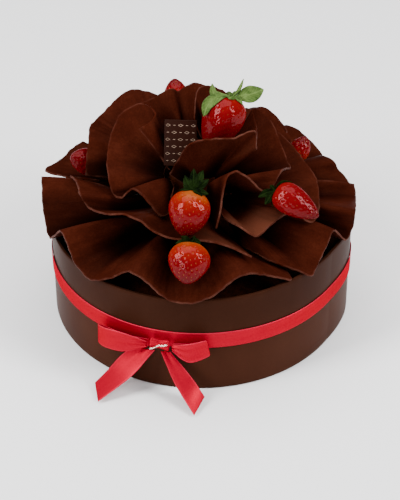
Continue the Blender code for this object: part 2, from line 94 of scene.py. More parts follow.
# Ruffles: gather (x, y, z), inner share, droop and the free edge, as in the part
RUFFLES = {
    "low_front": ((-10, -26, 87), 0.28, 2, (
        (-92, 105.5, 95.5), (-81.5, 105, 85.5), (-72.5, 104.5, 72.5), (-65, 104, 82),
        (-59, 104, 93), (-55, 104, 88), (-51, 104, 78), (-47, 104.5, 75), (-42.5, 105, 73),
        (-38, 105, 76), (-34, 103, 79.5), (-30, 101, 84.5), (-27, 100, 88), (-23.5, 101, 88.5),
        (-19.5, 101, 85), (-14, 102, 77.5), (-9.5, 103.5, 74.5), (-6, 104.5, 74.5),
        (-1.5, 104, 75), (3.5, 103, 78), (8, 101, 82.5), (12.5, 99, 87.5), (16, 98, 89),
        (20.5, 98, 88.5), (26, 98, 84), (30.5, 99, 80), (35, 101, 76.5), (38, 88, 75))),
    "low_right": ((8, -20, 92), 0.28, 3, (
        (21, 64, 87), (25.5, 74, 87.5), (31, 86, 84.5), (40, 99, 77.5), (42.5, 105, 75),
        (45, 104, 77), (49.5, 102, 81.5), (54, 101, 86), (57, 100, 90), (59.5, 100.5, 91.5),
        (62, 102, 86), (65, 104.5, 78.5), (67, 106, 80), (69, 107, 86.5), (69.5, 107.5, 96.5),
        (85.5, 104, 87), (90, 103, 92))),
    "low_back_right": ((10, 6, 87), 0.34, 0, (
        (97.5, 104, 79), (100, 103.5, 79.5), (103.5, 102, 81), (106, 99, 84.5), (108, 96, 90),
        (112, 93, 90), (116, 93, 87), (120, 99, 80), (125, 103.5, 77), (130, 103, 81),
        (135, 99, 88), (140, 98, 89), (145, 101, 84), (150, 104, 78), (156, 104.5, 76.5),
        (162, 104, 78))),
    "low_back_left": ((-14, 4, 84), 0.34, 0, (
        (-94, 89.5, 93.5), (-98.5, 105.5, 92), (-106.5, 99, 92), (-113.5, 95, 95), (-119, 92, 96),
        (-123, 98, 86), (-127, 103, 77), (-132, 103.5, 77.5), (-137, 100, 84), (-142, 97, 90),
        (-147, 99, 87), (-152, 103, 79), (-157, 104.5, 76.5), (-163, 104, 79))),
    "low_back": ((0, 12, 93), 0.34, 1, (
        (144, 88, 96), (149, 96, 92), (155, 104, 85.5), (160, 106, 84), (165, 104, 88),
        (170.5, 100, 95), (176, 99, 97), (181, 101, 92), (186, 105, 84.5), (191, 106, 83),
        (196, 105, 86), (201, 101, 93), (206, 98, 96), (211, 96, 95))),
    "mid_left": ((-3, -17, 93), 0.25, -3, (
        (-90, 86, 98.5), (-80, 82.5, 104.5), (-67.5, 84, 107.5), (-65.5, 82, 101), (-62, 80, 99),
        (-52.5, 80, 104), (-45, 80, 108.5), (-38.5, 78, 112), (-33.5, 78, 112.5), (-28.5, 78, 112),
        (-23.5, 78, 108), (-18.5, 78, 105.5), (-13, 78, 104), (-6.5, 78, 104), (-1.5, 77.5, 103.5),
        (4, 78, 103), (9, 79, 101.5), (15, 82, 98.5), (22, 87, 93))),
    "mid_right": ((6, -22, 101), 0.20, -1, (
        (14, 62, 108), (20.5, 72, 106.5), (26.5, 80, 102.5), (34.5, 78, 105), (41, 77, 106.5),
        (47, 78, 107), (53, 80, 101), (55, 86, 97), (57, 88, 97), (60, 88, 100), (67.5, 84, 102),
        (74, 80, 106.5), (79.5, 77, 108), (88.5, 71, 108.5), (97, 67, 110), (104.5, 63.5, 112.5),
        (111.5, 60.5, 115), (117, 57, 117.5))),
    "mid_back_left": ((-20, 4, 106), 0.18, 0, (
        (-87, 75.5, 102), (-90, 75, 111.5), (-95.5, 74.5, 116), (-100.5, 75, 121),
        (-109.5, 77.5, 121.5), (-121, 78, 120.5), (-130, 77.5, 124), (-135, 76.5, 127),
        (-140, 76, 128.5), (-144, 74, 128.5), (-149.5, 69.5, 126.5), (-154, 64.5, 125),
        (-160, 66, 118), (-166, 70, 112))),
    "mid_back": ((4, 10, 101), 0.22, 0, (
        (124, 72, 103), (131, 79, 101), (137, 78, 108), (144, 77, 112), (151, 79, 108),
        (158, 84, 101), (165, 83, 102), (172, 78, 110), (179, 77, 112), (186, 80, 105),
        (193, 84, 100), (200, 82, 103), (207, 78, 108))),
    "high_left": ((-16, -16, 108), 0.16, 0, (
        (-20.5, 50, 103.5), (-22.5, 57, 104), (-25.5, 60, 106), (-31.5, 60, 112), (-38.5, 59, 116),
        (-45, 60, 118), (-50.5, 60, 112.5), (-54.5, 62, 106.5), (-61.5, 63, 104), (-64.5, 64, 108),
        (-71.5, 63, 113), (-82.5, 61.5, 116.5), (-92, 60, 122), (-99.5, 59, 126.5),
        (-105, 57.5, 131), (-111, 55.5, 135), (-115.5, 51, 138.5), (-119.5, 44.5, 141.5),
        (-119, 37, 141), (-111, 31, 140.5), (-97.5, 31, 140.5), (-91, 35, 138.5),
        (-90, 39.5, 136))),
    "high_front": ((2, -26, 106), 0.22, 0, (
        (-42, 29.5, 116), (-32, 30, 125.5), (-24.5, 30, 133.5), (-17, 30, 141), (-5.5, 30, 146),
        (6.5, 30, 147.5), (22, 31, 147.5), (38, 33, 146), (49.5, 36, 147), (55.5, 40, 149.5),
        (59.5, 42, 146.5), (57, 43, 136.5), (86, 37, 138), (105.5, 36, 144.5), (102.5, 42, 142),
        (102, 49, 133), (92, 53, 124), (82, 58, 116.5), (75, 61, 116), (57, 63, 127),
        (50.5, 62, 120.5), (41, 62, 119.5), (33.5, 57, 129.5), (26.5, 54, 135.5),
        (20.5, 54, 135.5), (17, 56, 133), (14, 59, 123), (11.5, 65, 116), (9.5, 69, 111),
        (8.5, 70, 107))),
    "high_back": ((8, 4, 104), 0.22, 0, (
        (111.5, 65, 107), (115, 67, 111), (122, 64, 115), (129.5, 59.5, 118.5), (138.5, 56, 121.5),
        (146, 56, 122), (155, 60, 116), (164, 57, 122), (173, 55, 125), (182, 58, 118),
        (191, 60, 116), (200, 58, 121))),
    "crown_back": ((-8, 4, 112), 0.18, 0, (
        (-121, 54, 130.5), (-127, 51.5, 135), (-136, 47.5, 137), (-146, 41, 143.5),
        (-152.5, 39.5, 145), (-158, 39, 142), (-166, 38, 145.5), (-172.5, 38.5, 147),
        (-180.5, 38, 147), (-188.5, 36.5, 146))),
    "crown_right": ((8, 2, 112), 0.12, 0, (
        (-162.5, 12.5, 136.5), (-170.5, 18.5, 143.5), (-176, 24, 150.5), (-187, 28, 151.5),
        (-199, 30.5, 150), (-213.5, 33.5, 145.5), (-230.5, 34.5, 140.5))),
}
ROOT_CLEARANCE = 1.8
EDGE_STEP = 1.1  # mm between points along a sheet's edge
SHEET_ROWS = 22
ROOT_EASE = 6  # mm in which folds are rounded at the gathered root
EDGE_WOBBLE = 0.35  # mm a free edge wanders
RIPPLE = 0.22  # mm of unevenness in a sheet's surface
FOLD_REACH = 14  # mm each way in which a fold's height is judged, for its depth
SHADE_REACH = 22  # and for its painted shade
SHADE_WAY = (0.5, 0.85)  # how far outward and upward count as height there
# Painted shade: share of the way from gather to edge where a sheet begins to lighten and where
# it is fully light: on the flat, and what a full hollow and a full ridge add
SHADE_START = (0.1, 0.4, -0.1)
SHADE_END = (0.88, 0.62, -0.52)
FOLD_DEPTH = 2  # how much deeper than straight folds are halfway in
FOLD_HEIGHT = 3.6  # mm up at a full ridge or down at a full hollow
PAINTED_SHEEN_AND_SHADE = {  # from and to, in mm along the edge, and how much painted sheen (or, below 0, painted shade)
    "low_front": (8, 68, -0.45),
    "low_right": (-12, 32, -0.6),
    "mid_left": (132, 190, 0.4),
    "mid_right": (-8, 54, 0.8),
    "high_front": (78, 112, 0.2),
}
PAINTED_PATCH_FADE = 12  # mm in which it fades
# Where the painted highlight along a sheet's cut edge is cut back
QUIET_EDGES = {  # angle from and to, largest radius and least height
    "high_front": (61, 180, 47, 130),
    "high_left": (-180, -90, 42, 137.5),
    "high_back": (100, 140, CAKE_RADIUS, 0),
}
QUIET = 3  # mm of painted edge highlight taken off there
STREAK_SHIFT = 300  # mm between two sheets' streaks
SHEET_ROUNDING = 0.35
COLLAR_ROUNDING = 0.45
SHARP = math.radians(60)  # edges that turn by more are rounded
SWAY = 0.9  # mm that ridges sway sideways, more at a sheet's ends
SWAY_FADE = 12  # mm from an end in which they do
GATHER_LIGHT = 0.05  # how light the painted shade leaves the gather, as a share of the edge

# Bow: each strip is two edges through (angle, radius, height) points, as in the part
KNOT = (-14, 105.4, 39.8)
KNOT_SIZE = (13, 5.1, 8.4)
KNOT_GRID = (80, 48)  # points round it and along it
KNOT_WAIST = 0.62  # its waist as a share of its ends
KNOT_PLEATS = ((7, 0.13, 1.2), (12, 0.05, -2))  # how many, how deep and how far they turn
PLEAT_REACH = 7  # mm from the knot in which the pleats die away
PLEAT_DEPTH = 0.7
TIE_PATH = ((-5.8, -2.6, -2.2), (-3.2, -3.2, -0.8), (0, -3.0, 1.6), (3, -3.4, 2.4),
            (5.6, -2.9, 3.0))  # (x, y, z) in mm from the knot's middle
TIE_TURNS = 3
TIE_RADIUS = 0.42
TIE_GRID = (90, 8)  # points along each wire and round it
LOOP_FORM = (90, 2.5)  # points along a loop, and pleats across it
TAIL_FORM = (60, 1.5)
BOW_ACROSS = 32  # points across either
BOW_STRIPS = {
    "bow_loop_left": (
        ((-18.5, 105.8, 41), (-26, 110, 46.5), (-33, 110.5, 45.5), (-37.4, 107, 42),
         (-38, 104.4, 39.5), (-36, 102.6, 38.5), (-27, 102.4, 38.5), (-18.5, 102.6, 40)),
        ((-18.5, 105.8, 36), (-26, 110, 31), (-33, 110.5, 29), (-37.6, 107, 26.5),
         (-38.2, 104.4, 27), (-36, 102.6, 28), (-27, 102.4, 31), (-18.5, 102.6, 34))),
    "bow_loop_right": (
        ((-9.5, 105.8, 41), (-5, 108.5, 44.5), (-1, 109, 47), (1.8, 106, 46),
         (2.4, 104, 43.5), (1, 102.5, 41.5), (-4, 102.4, 40), (-9.5, 102.6, 40)),
        ((-9.5, 105.8, 36), (-5.5, 108.5, 31.5), (-2.3, 109, 30.5), (2.8, 106.5, 33),
         (3.4, 104.2, 34), (2, 102.5, 34.5), (-4, 102.4, 34.5), (-9.5, 102.6, 34.5))),
    "bow_tail_left": (
        ((-25, 103.8, 30.5), (-29, 107, 21.5), (-32, 112, 12), (-34.5, 120, 4)),
        ((-16, 103.8, 33), (-18, 107, 28), (-22.5, 115, 16), (-29.8, 131.5, 1.4))),
    "bow_tail_right": (
        ((-13.8, 103.8, 33), (-11.3, 107, 24), (-7.8, 112, 12), (-1.6, 127, 1.4)),
        ((-10.5, 103.6, 33), (-5.2, 106.5, 22.5), (-1.4, 109, 13), (1.6, 112.5, 4))),
}

# Strawberries: centre (x, y, z), half-width, half-length, way of the tip, how blunt it is and
# how far the pale shoulder reaches from the calyx
BERRIES = {
    "top": ((13.2, -1.3, 140), 14.3, 19.5, (-0.45, -0.35, -1), 0.66, 0.02),
    "middle": ((-7, -67, 116.8), 14, 14.8, (-0.2, -0.45, -1), 0.8, 0.2),
    "front": ((-6.9, -91.5, 96.3), 13.9, 13.2, (-0.1, -0.85, -0.5), 0.8, 0.34),
    "right": ((61, -57.3, 117.2), 10.3, 15.8, (0.87, -0.45, -0.33), 0.62, 0.03),
    "left": ((-77, 10, 104), 9.5, 12, (-0.6, -0.5, 0.6), 0.7, 0.03),
    "back": ((-16, 47.8, 132.8), 9, 10, (-0.1, 0.5, 1), 0.8, 0.45),
    "back_right": ((67.5, 24, 104.5), 7.6, 9, (0.5, 0.2, 1), 0.8, 0.35),
}
RIPE_SHOULDER = 0.1  # strawberries with less shoulder than this are red all over
PALE_FLESH = ((0.23, 0.055, 0.008), (0.19, 0.017, 0.0025))
RIPE_FLESH = ((0.165, 0.009, 0.004), (0.155, 0.0045, 0.0032))
BLUSH = ((0.17, 0.006, 0.0025), (0.145, 0.0028, 0.003))  # of pale and of ripe shoulders
BERRY_SIDES = 112
BERRY_RINGS = 64
SEED_SPACING = 2.9  # mm between neighbouring seeds
SEED_SIZE = (0.3, 0.55, 0.22)  # mm, half of the seed's width, length and depth
DIMPLE_DEPTH = 0.4
DIMPLE_RADIUS = 1.0
DIMPLE_STEEP = 1.6
SEED_GRID = (8, 6)  # points round a seed and along it

# Calyxes: each leaf's half-width and the (x, y, z) points of its middle line, in millimetres
# from the strawberry's broad end
CALYXES = {
    "top": (
        (5.6, (3, 0.2, 0), (7, 0.6, 0.6), (13, 1.2, 1.4), (20, 1.6, 4.4)),
        (4.6, (-1.5, -1, 0.4), (-9, -4.5, 0.4), (-15.5, -8, -1.4), (-18.5, -13, -6.6)),
        (2.7, (-1.5, -1, 0.4), (-7.6, -1.6, 1), (-12, 0, 2.4), (-13, 3, 8)),
        (1.1, (0, 0, 0), (4.2, 2, 4.1), (7.2, 5, 10.4)),
        (2.4, (0, 0, 0), (-1.6, -3.4, -0.4), (-3.6, -6.4, -2.6)),
        (2.2, (0, 0, 0), (3.6, -3, -0.6), (6.5, -5.2, -2.8)),
        (2.4, (0, 0, 0), (2.4, 4, -1), (3.6, 7, -4)),
        (2.2, (0, 0, 0), (-2.4, 4, -1), (-4, 7, -4))),
    "middle": (
        (2.7, (0, 0, 0), (-2.8, 1.4, 3.6), (-5, 5, 7.4)),
        (2.6, (0, 0, 0), (0.4, 3, 5.4), (0.6, 8, 10.4)),
        (2.8, (0, 0, 0), (3.4, 3, 5), (6.4, 8, 9.2)),
        (2.4, (0, 0, 0), (5.4, 1.6, 2.6), (9.8, 5, 4.6)),
        (2.2, (0, 0, 0), (5, -2, -0.2), (9.6, -2, -1.6)),
        (2.3, (0, 0, 0), (2.4, -3.4, -0.4), (4.6, -5.6, -2.6)),
        (2.3, (0, 0, 0), (-4.4, -1, 0), (-8.4, 0.6, -1.2)),
        (2.4, (0, 0, 0), (-3, 4.4, -0.6), (-6, 8, -2))),
    "front": (
        (2.4, (0, 0, 0), (-4.6, -1.6, 1.8), (-9.4, -3, 2.4)),
        (2.2, (0, 0, 0), (-3, 0.6, 2.6), (-5.6, 0, 5.8)),
        (2, (0, 0, 0), (1.6, 1, 2.2), (2.4, 2, 4.4)),
        (2, (0, 0, 0), (3.4, 1.4, 0.4), (6, 1.6, -1.8)),
        (2.2, (0, 0, 0), (3.4, 0.6, -2.4), (5.4, 0, -5)),
        (2.2, (0, 0, 0), (-3.4, 0.4, -2.2), (-5.4, -0.4, -4.8))),
    "right": (
        (2.4, (0, 0, 0), (-5.6, -1.4, -0.8), (-10.6, -3.5, -2.6)),
        (2.6, (0, 0, 0), (-3, -3.4, -2.4), (-6.4, -7, -5.6)),
        (2, (0, 0, 0), (-1, -3.4, -3.6), (-1, -6, -7.4)),
        (1.6, (0, 0, 0), (-1.6, 0.8, 1.6), (-3.2, 1.2, 3.2)),
        (2.2, (0, 0, 0), (4.6, 1.4, 4), (10.6, 2, 4.4)),
        (2, (0, 0, 0), (-0.6, 2.6, -2.4), (-0.2, 4, -5))),
}
LEAF_FACING = Vector((0, -0.75, 0.66))
LEAF_THICKNESS = 0.4  # thinner than in the part
LEAF_GRID = (22, 11)  # points along and across a leaf
LEAF_VEINS = 12  # mm along which the veins of one leaf are drawn
LEAF_LIFT = 0.35  # mm between a leaf's middle and the strawberry
LEAF_CUP = (0.22, 0.10)  # how a leaf rises beside its midrib, by the share out squared and plain
LEAF_WAVE = 0.07  # of its side edges, as a share of its half-width
LEAF_POINT = 0.3  # mm, least half-width
VEIN_SPACING = 1.5  # mm between a leaf's side veins, along its midrib
VEIN_SLANT = 0.8  # how far they run towards the tip for each mm outwards

PLAQUE_SIZE = (21, 1.4, 30)
PLAQUE_CENTRE = (-12.5, -8, 130)
PLAQUE_LEAN = 27
PLAQUE_TURN = -3
PLAQUE_ROUNDING = 0.4
PRINT_CELL = (8.2, 4.6)  # mm between the plaque's printed diamonds, across and up
PRINT_DIAMOND = (1.7, 0.95)  # mm, half of a diamond's width and height
PRINT_OUTLINE = (0.85, 0.16)  # where its line is, from 0 in the middle, and half the line
PRINT_DASH = (0.7, 0.2)  # mm, half of a dash's width and height
PRINT_MARGIN = 1  # mm left bare round the print


# Geometry helpers -------

def polar(points):
    """(x, y, z) in mm of (angle, radius, height) points."""
    angle, radius, height = np.asarray(points, float).reshape(-1, 3).T
    return around(np.radians(angle), radius, height)


def around(turn, radius, height):
    """(x, y, z) of points at a turn in radians, a radius and a height."""
    return grid(radius * np.sin(turn), -radius * np.cos(turn), height)


def full_turn(count):
    """Turns in radians round a circle, as a column."""
    return np.linspace(0, 2 * np.pi, count, endpoint=False)[:, None]


def grid(*parts):
    """Arrays spread over one grid and stacked as its last axis."""
    return np.stack(np.broadcast_arrays(*parts), axis=-1)


def unit(vectors):
    """Vectors scaled to length 1."""
    return vectors / np.linalg.norm(vectors, axis=-1, keepdims=True)


def lengths(points):
    """How far along a line of points each one is."""
    return np.concatenate([[0], np.cumsum(np.linalg.norm(np.diff(points, axis=0), axis=1))])


def smooth_path(points, count=None):
    """Evenly spaced points on a Catmull-Rom curve through the given ones."""
    points = np.asarray(points, float)
    ends = np.vstack([2 * points[0] - points[1], points, 2 * points[-1] - points[-2]])
    t = (np.arange(24) / 24)[:, None]
    fine = []
    for a, b, c, d in zip(ends, ends[1:], ends[2:], ends[3:]):
        fine.append(0.5 * (2 * b + (c - a) * t + (2 * a - 5 * b + 4 * c - d) * t ** 2
                           + (3 * b - a - 3 * c + d) * t ** 3))
    fine = np.vstack([*fine, points[-1:]])
    along = lengths(fine)
    if count is None:
        count = round(along[-1] / EDGE_STEP)
    wanted = np.linspace(0, along[-1], count + 1)
    return np.stack([np.interp(wanted, along, fine[:, k]) for k in range(3)], axis=1)


def eased(points, reach):
    """Each point averaged with its neighbours up to reach places away."""
    total = np.vstack([np.zeros((1, 3)), np.cumsum(points, axis=0)])
    k = np.arange(len(points))
    low = np.maximum(0, k - reach)
    high = np.minimum(len(points), k + reach + 1)
    return (total[high] - total[low]) / (high - low)[:, None]


def wander(along, lengths, seed):
    """A smooth wandering of about unit size along a line, from waves of some lengths."""
    draw = np.random.default_rng(seed)
    total = np.zeros_like(along, dtype=float)
    for length in lengths:
        total += np.sin(2 * np.pi * (along / length + draw.random())) / len(lengths) ** 0.5
    return total


def add_mesh(name, points, faces, materials, **uv_maps):
    """A smooth-shaded object from points in mm, with UV maps by vertex."""
    mesh = bpy.data.meshes.new(name)
    points = np.reshape(points, (-1, 3)) * MM
    mesh.from_pydata(points.tolist(), [], np.asarray(faces).tolist())
    corner = np.empty(len(mesh.loops), np.int32)
    mesh.loops.foreach_get("vertex_index", corner)
    for uv_name, uv in uv_maps.items():
        layer = mesh.uv_layers.new(name=uv_name)
        layer.data.foreach_set("uv", np.asarray(uv).reshape(-1, 2)[corner].ravel())
    mesh.shade_smooth()
    for mat in materials:
        mesh.materials.append(mat)
    return add_object(name, mesh)


def add_object(name, data):
    """An object in the scene."""
    obj = bpy.data.objects.new(name, data)
    bpy.context.scene.collection.objects.link(obj)
    return obj


def add_surface(name, points, materials, closed=False, **uv_maps):
    """A mesh from a grid of points in columns and rows, or from several such grids."""
    *_, columns, rows, _ = np.shape(points)
    k = np.arange(columns if closed else columns - 1)[:, None]
    j = np.arange(rows - 1)
    low = k * rows + j
    high = (k + 1) % columns * rows + j
    start = np.arange(0, np.size(points) // 3, columns * rows)[:, None, None, None]
    faces = start + grid(low, high, high + 1, low + 1)
    return add_mesh(name, points, faces.reshape(-1, 4), materials, **uv_maps)


def give_thickness(obj, thickness, bevel, rim_slot=0):
    """Solidify an open surface, half to each side, and round its cut edges."""
    shell = obj.modifiers.new("thickness", "SOLIDIFY")
    shell.thickness = thickness * MM
    shell.offset = 0
    shell.material_offset_rim = rim_slot
    if bevel:
        soften(obj, bevel)


def soften(obj, width, segments=2):
    """Round an object's sharp edges."""
    soft = obj.modifiers.new("rounding", "BEVEL")
    soft.width = width * MM
    soft.segments = segments
    soft.limit_method = "ANGLE"
    soft.angle_limit = SHARP


def settle(obj, slot, *nodes):
    """The piece rides on the cake and stands for its nodes; the slot is not used."""
    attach(obj, "root")
    if nodes:
        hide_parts(*nodes)


# Materials --------------

def new_material(name, roughness, specular=0.5, tint=(1, 1, 1), **values):
    """A material and its tree, with values set on the Principled shader."""
    values.update(roughness=roughness, specular_ior_level=specular, specular_tint=tint)
    mat = bpy.data.materials.new(name)
    mat.use_nodes = True
    shader = mat.node_tree.nodes["Principled BSDF"]
    for key, value in values.items():
        socket = shader.inputs[key.replace("_", " ").title().replace("Ior", "IOR")]
        feed(mat.node_tree, socket, value)
    return mat, mat.node_tree


def finished(mat, colour=None, relief=None, strength=0, distance=0):
    """The material with its colour and relief linked; distance in mm."""
    tree = mat.node_tree
    shader = tree.nodes["Principled BSDF"]
    if colour is not None:
        tree.links.new(colour, shader.inputs["Base Color"])
    if relief is not None:
        made = node(tree, "Bump", Height=relief, Strength=strength, Distance=distance * MM)
        tree.links.new(made.outputs["Normal"], shader.inputs["Normal"])
    return mat


def feed(tree, socket, value):
    """Link a socket to another one, or set its value."""
    if isinstance(value, bpy.types.NodeSocket):
        tree.links.new(value, socket)
    else:
        socket.default_value = (*value, 1) if isinstance(value, tuple) else value


def node(tree, kind, settings=None, **inputs):
    """Add a node and feed its inputs."""
    made = tree.nodes.new("ShaderNode" + kind)
    for key, value in (settings or {}).items():
        setattr(made, key, value)
    for key, value in inputs.items():
        feed(tree, made.inputs[key.replace("_", " ")], value)
    return made


def maths(operation, *values):
    """A math node's result, in the tree of the values that are sockets."""
    tree = next(value.id_data for value in values if isinstance(value, bpy.types.NodeSocket))
    made = node(tree, "Math", {"operation": operation})
    for socket, value in zip(made.inputs, values):
        feed(tree, socket, value)
    return made.outputs[0]


def weighed(*parts):
    """Sum of values, each given with its weight."""
    total = 0.0
    for value, weight in reversed(parts):
        total = maths("MULTIPLY_ADD", value, weight, total)
    return total


def ramp(factor, *stops):
    """A colour ramp's result; each stop is (position, (r, g, b))."""
    made = node(factor.id_data, "ValToRGB", Fac=factor)
    points = made.color_ramp.elements
    while len(points) < len(stops):
        points.new(0.5)
    for point, (position, colour) in zip(points, stops):
        point.position = position
        point.color = (*colour, 1)
    return made.outputs["Color"]


def grain(tree, scale, detail=3, roughness=0.5, vector=None):
    """A noise texture's value, in object coordinates unless others are given."""
    if vector is None:
        vector = object_vector(tree)
    return node(tree, "TexNoise", Vector=vector, Scale=scale, Detail=detail,
                Roughness=roughness).outputs["Fac"]


def stretched(tree, coords, *scale):
    """Coordinates multiplied by a scale."""
    return node(tree, "Mapping", Vector=coords, Scale=Vector(scale)).outputs["Vector"]


def object_vector(tree, scale=1):
    """Object coordinates, times a scale."""
    return stretched(tree, node(tree, "TexCoord").outputs["Object"], scale, scale, scale)


def strip_vector(tree, along=1, across=1):
    """Coordinates along and across a strip or sheet, in mm, stretched."""
    coords = node(tree, "UVMap", {"uv_map": "strip"}).outputs["UV"]
    return stretched(tree, coords, along, across, 1)


def uv_parts(tree, uv_map):
    """The two values of a UV map."""
    coords = node(tree, "UVMap", {"uv_map": uv_map}).outputs["UV"]
    parts = node(tree, "SeparateXYZ", Vector=coords)
    return parts.outputs["X"], parts.outputs["Y"]


def between(value, low, high):
    """0 to 1, smoothly, as a value goes from low to high, or down from it."""
    made = node(value.id_data, "MapRange", {"interpolation_type": "SMOOTHSTEP"},
                Value=value, From_Min=low, From_Max=high)
    return made.outputs["Result"]


def mix(factor, first, second):
    """Blend of two colours, each an (r, g, b) or a socket."""
    made = node(factor.id_data, "Mix", {"data_type": "RGBA"})
    for place, value in ((0, factor), (6, first), (7, second)):
        feed(factor.id_data, made.inputs[place], value)
    return made.outputs[2]


def lit(colour, light):
    """A colour made lighter or darker."""
    return node(colour.id_data, "HueSaturation", Color=colour, Value=light).outputs["Color"]


def sheet_material():
    """Dark chocolate rolled thin, faintly clouded, with painted shade in folds, sheen and edge
    highlight.
    """
    mat, tree = new_material("chocolate_sheet", 0.5, specular=0.01, tint=(1, 0.35, 0.2))
    border, painted_light = uv_parts(tree, "edge")
    streaks = grain(tree, 1, 5, 0.65, vector=strip_vector(tree, 0.35, 0.06))
    clouds = grain(tree, 70, 4, 0.6)
    dust = grain(tree, 900, 2)
    mixed = weighed((streaks, 0.2), (clouds, 0.5), (dust, 0.3))
    colour = ramp(mixed, (0.32, (0.015, 0.0024, 0.0011)), (0.5, (0.025, 0.0041, 0.0019)),
                  (0.68, (0.039, 0.0074, 0.0035)))
    # Painted shade, darker towards the gather and in hollows
    shaded = lit(colour, maths("MINIMUM", painted_light, 1))
    # Painted sheen: a lighter, greyer colour where the painted light goes past 1
    sheened = mix(maths("SUBTRACT", painted_light, 1), shaded, (0.062, 0.018, 0.0095))
    # Painted highlight along the cut edges, in broken patches
    edge_highlight = maths("MULTIPLY", painted_edge_highlight(border, 0.3, 0.95), 0.65)
    edged = mix(edge_highlight, sheened, (0.066, 0.021, 0.0135))
    return finished(mat, edged, maths("MULTIPLY_ADD", dust, 0.4, streaks), 0.2, 0.25)


def painted_edge_highlight(border, low, high):
    """How much painted highlight a cut edge has, 1 at the border to 0 within, in broken patches.
    """
    patches = between(grain(border.id_data, 110, 4), 0.34, 0.68)
    return maths("MULTIPLY", between(border, high, low), patches)


def cut_edge_material():
    """The rougher edge where chocolate was cut, lighter with a painted highlight near the border.
    """
    mat, tree = new_material("chocolate_cut_edge", 0.55, specular=0.06, tint=(1, 0.55, 0.4))
    border, _ = uv_parts(tree, "edge")
    specks = grain(tree, 420, 3)
    # Painted highlight colour, speckled
    edge_highlight = ramp(specks, (0.3, (0.04, 0.0105, 0.006)), (0.7, (0.078, 0.026, 0.017)))
    colour = mix(painted_edge_highlight(border, 0.5, 2), (0.03, 0.0036, 0.0009), edge_highlight)
    return finished(mat, colour, specks, 0.4, 0.3)


def collar_material():
    """Chocolate set against film: smooth, with slow smears, a soft sheen and painted light and
    shade.
    """
    mat, tree = new_material("chocolate_collar", 0.38, specular=0.02, tint=(1, 0.5, 0.35))
    smears = grain(tree, 1, 4, 0.55, vector=strip_vector(tree, 0.03, 0.009))
    clouds = grain(tree, 16, 2)
    dust = grain(tree, 700, 2)
    mixed = weighed((smears, 0.45), (clouds, 0.4), (dust, 0.15))
    colour = ramp(mixed, (0.35, (0.025, 0.0074, 0.0038)), (0.65, (0.038, 0.0125, 0.0066)))
    _, height = uv_parts(tree, "strip")
    # Painted light and shade: lighter low down, darker towards the rim under the ruffles
    painted_light = maths("MULTIPLY_ADD", between(height, 20, 62), -0.42, 1.12)
    relief = maths("MULTIPLY_ADD", grain(tree, 260, 4), 0.12, smears)
    return finished(mat, lit(colour, painted_light), relief, 0.25, 0.6)


def cake_material():
    """Crumb and cream under the ruffles."""
    mat, tree = new_material("cake_crumb", 0.75, specular=0)
    crumbs = grain(tree, 260, 6, 0.65)
    colour = ramp(crumbs, (0.35, (0.008, 0.0016, 0.0006)), (0.68, (0.022, 0.005, 0.0018)))
    return finished(mat, colour, crumbs, 0.8, 1.2)


def satin_material():
    """Red satin: a red gleam, fine threads across the ribbon and brighter woven edges."""
    mat, tree = new_material("red_satin", 0.42, specular=0, tint=(1, 0.06, 0.14), metallic=0.4)
    _, across = uv_parts(tree, "strip")
    off_middle = maths("ABSOLUTE", maths("SUBTRACT", maths("DIVIDE", across, RIBBON_WIDTH), 0.5))
    colour = ramp(off_middle, (0, (0.31, 0.0005, 0.014)), (0.43, (0.32, 0.0006, 0.015)),
                  (0.465, (0.4, 0.005, 0.028)), (0.5, (0.44, 0.014, 0.038)))
    shade = grain(tree, 1, 3, vector=strip_vector(tree, 0.05, 0.4))
    shaded = lit(colour, maths("MULTIPLY_ADD", shade, 0.3, 0.88))
    threads = node(tree, "TexWave", {"bands_direction": "X"}, Vector=strip_vector(tree),
                   Scale=0.9, Distortion=0.6, Detail=1).outputs["Fac"]
    relief = maths("MULTIPLY_ADD", threads, 0.5, shade)
    return finished(mat, shaded, relief, 0.2, 0.12)


def berry_material(name, shoulder):
    """Strawberry flesh under a clear glaze, pale round the calyx."""
    mat, tree = new_material(name, 0.13, specular=0, tint=(1, 0.06, 0.08), metallic=0.1,
                             coat_weight=0.16, coat_roughness=0.03)
    _, down = uv_parts(tree, "strip")
    blotches = grain(tree, 120, 4)
    share = maths("MULTIPLY_ADD", maths("SUBTRACT", blotches, 0.5), 0.35, down)
    ripe = shoulder < RIPE_SHOULDER
    pale, flush = RIPE_FLESH if ripe else PALE_FLESH
    colour = ramp(share, (0, pale), (shoulder * 0.6, flush), (shoulder, BLUSH[ripe]),
                  (min(shoulder + 0.25, 0.9), (0.118, 0.0018, 0.0036)),
                  (1, (0.066, 0.0012, 0.0026)))
    return finished(mat, colour, grain(tree, 900, 3), 0.15, 0.2)


def seed_material(name, dark, light):
    """Strawberry seeds between two colours."""
    mat, tree = new_material(name, 0.4, specular=0.1)
    return finished(mat, ramp(grain(tree, 300, 1), (0.35, dark), (0.65, light)))


def leaf_material(name, dark, light, gleam):
    """Leaf green with a paler midrib and veins that slant out from it."""
    mat, tree = new_material(name, 0.42, specular=gleam)
    mottle = grain(tree, 230, 4)
    across, along = uv_parts(tree, "strip")
    off_rib = maths("ABSOLUTE", across)
    slant = maths("MULTIPLY_ADD", off_rib, -VEIN_SLANT, along)
    veins = between(maths("PINGPONG", slant, VEIN_SPACING / 2), 0.3, 0)
    midrib = between(off_rib, 0.5, 0.1)
    lines = maths("MAXIMUM", maths("MULTIPLY", veins, 0.45), midrib)
    mixed = maths("MULTIPLY_ADD", lines, 0.25, mottle)
    return finished(mat, ramp(mixed, (0.36, dark), (0.72, light)), lines, 0.5, 0.25)


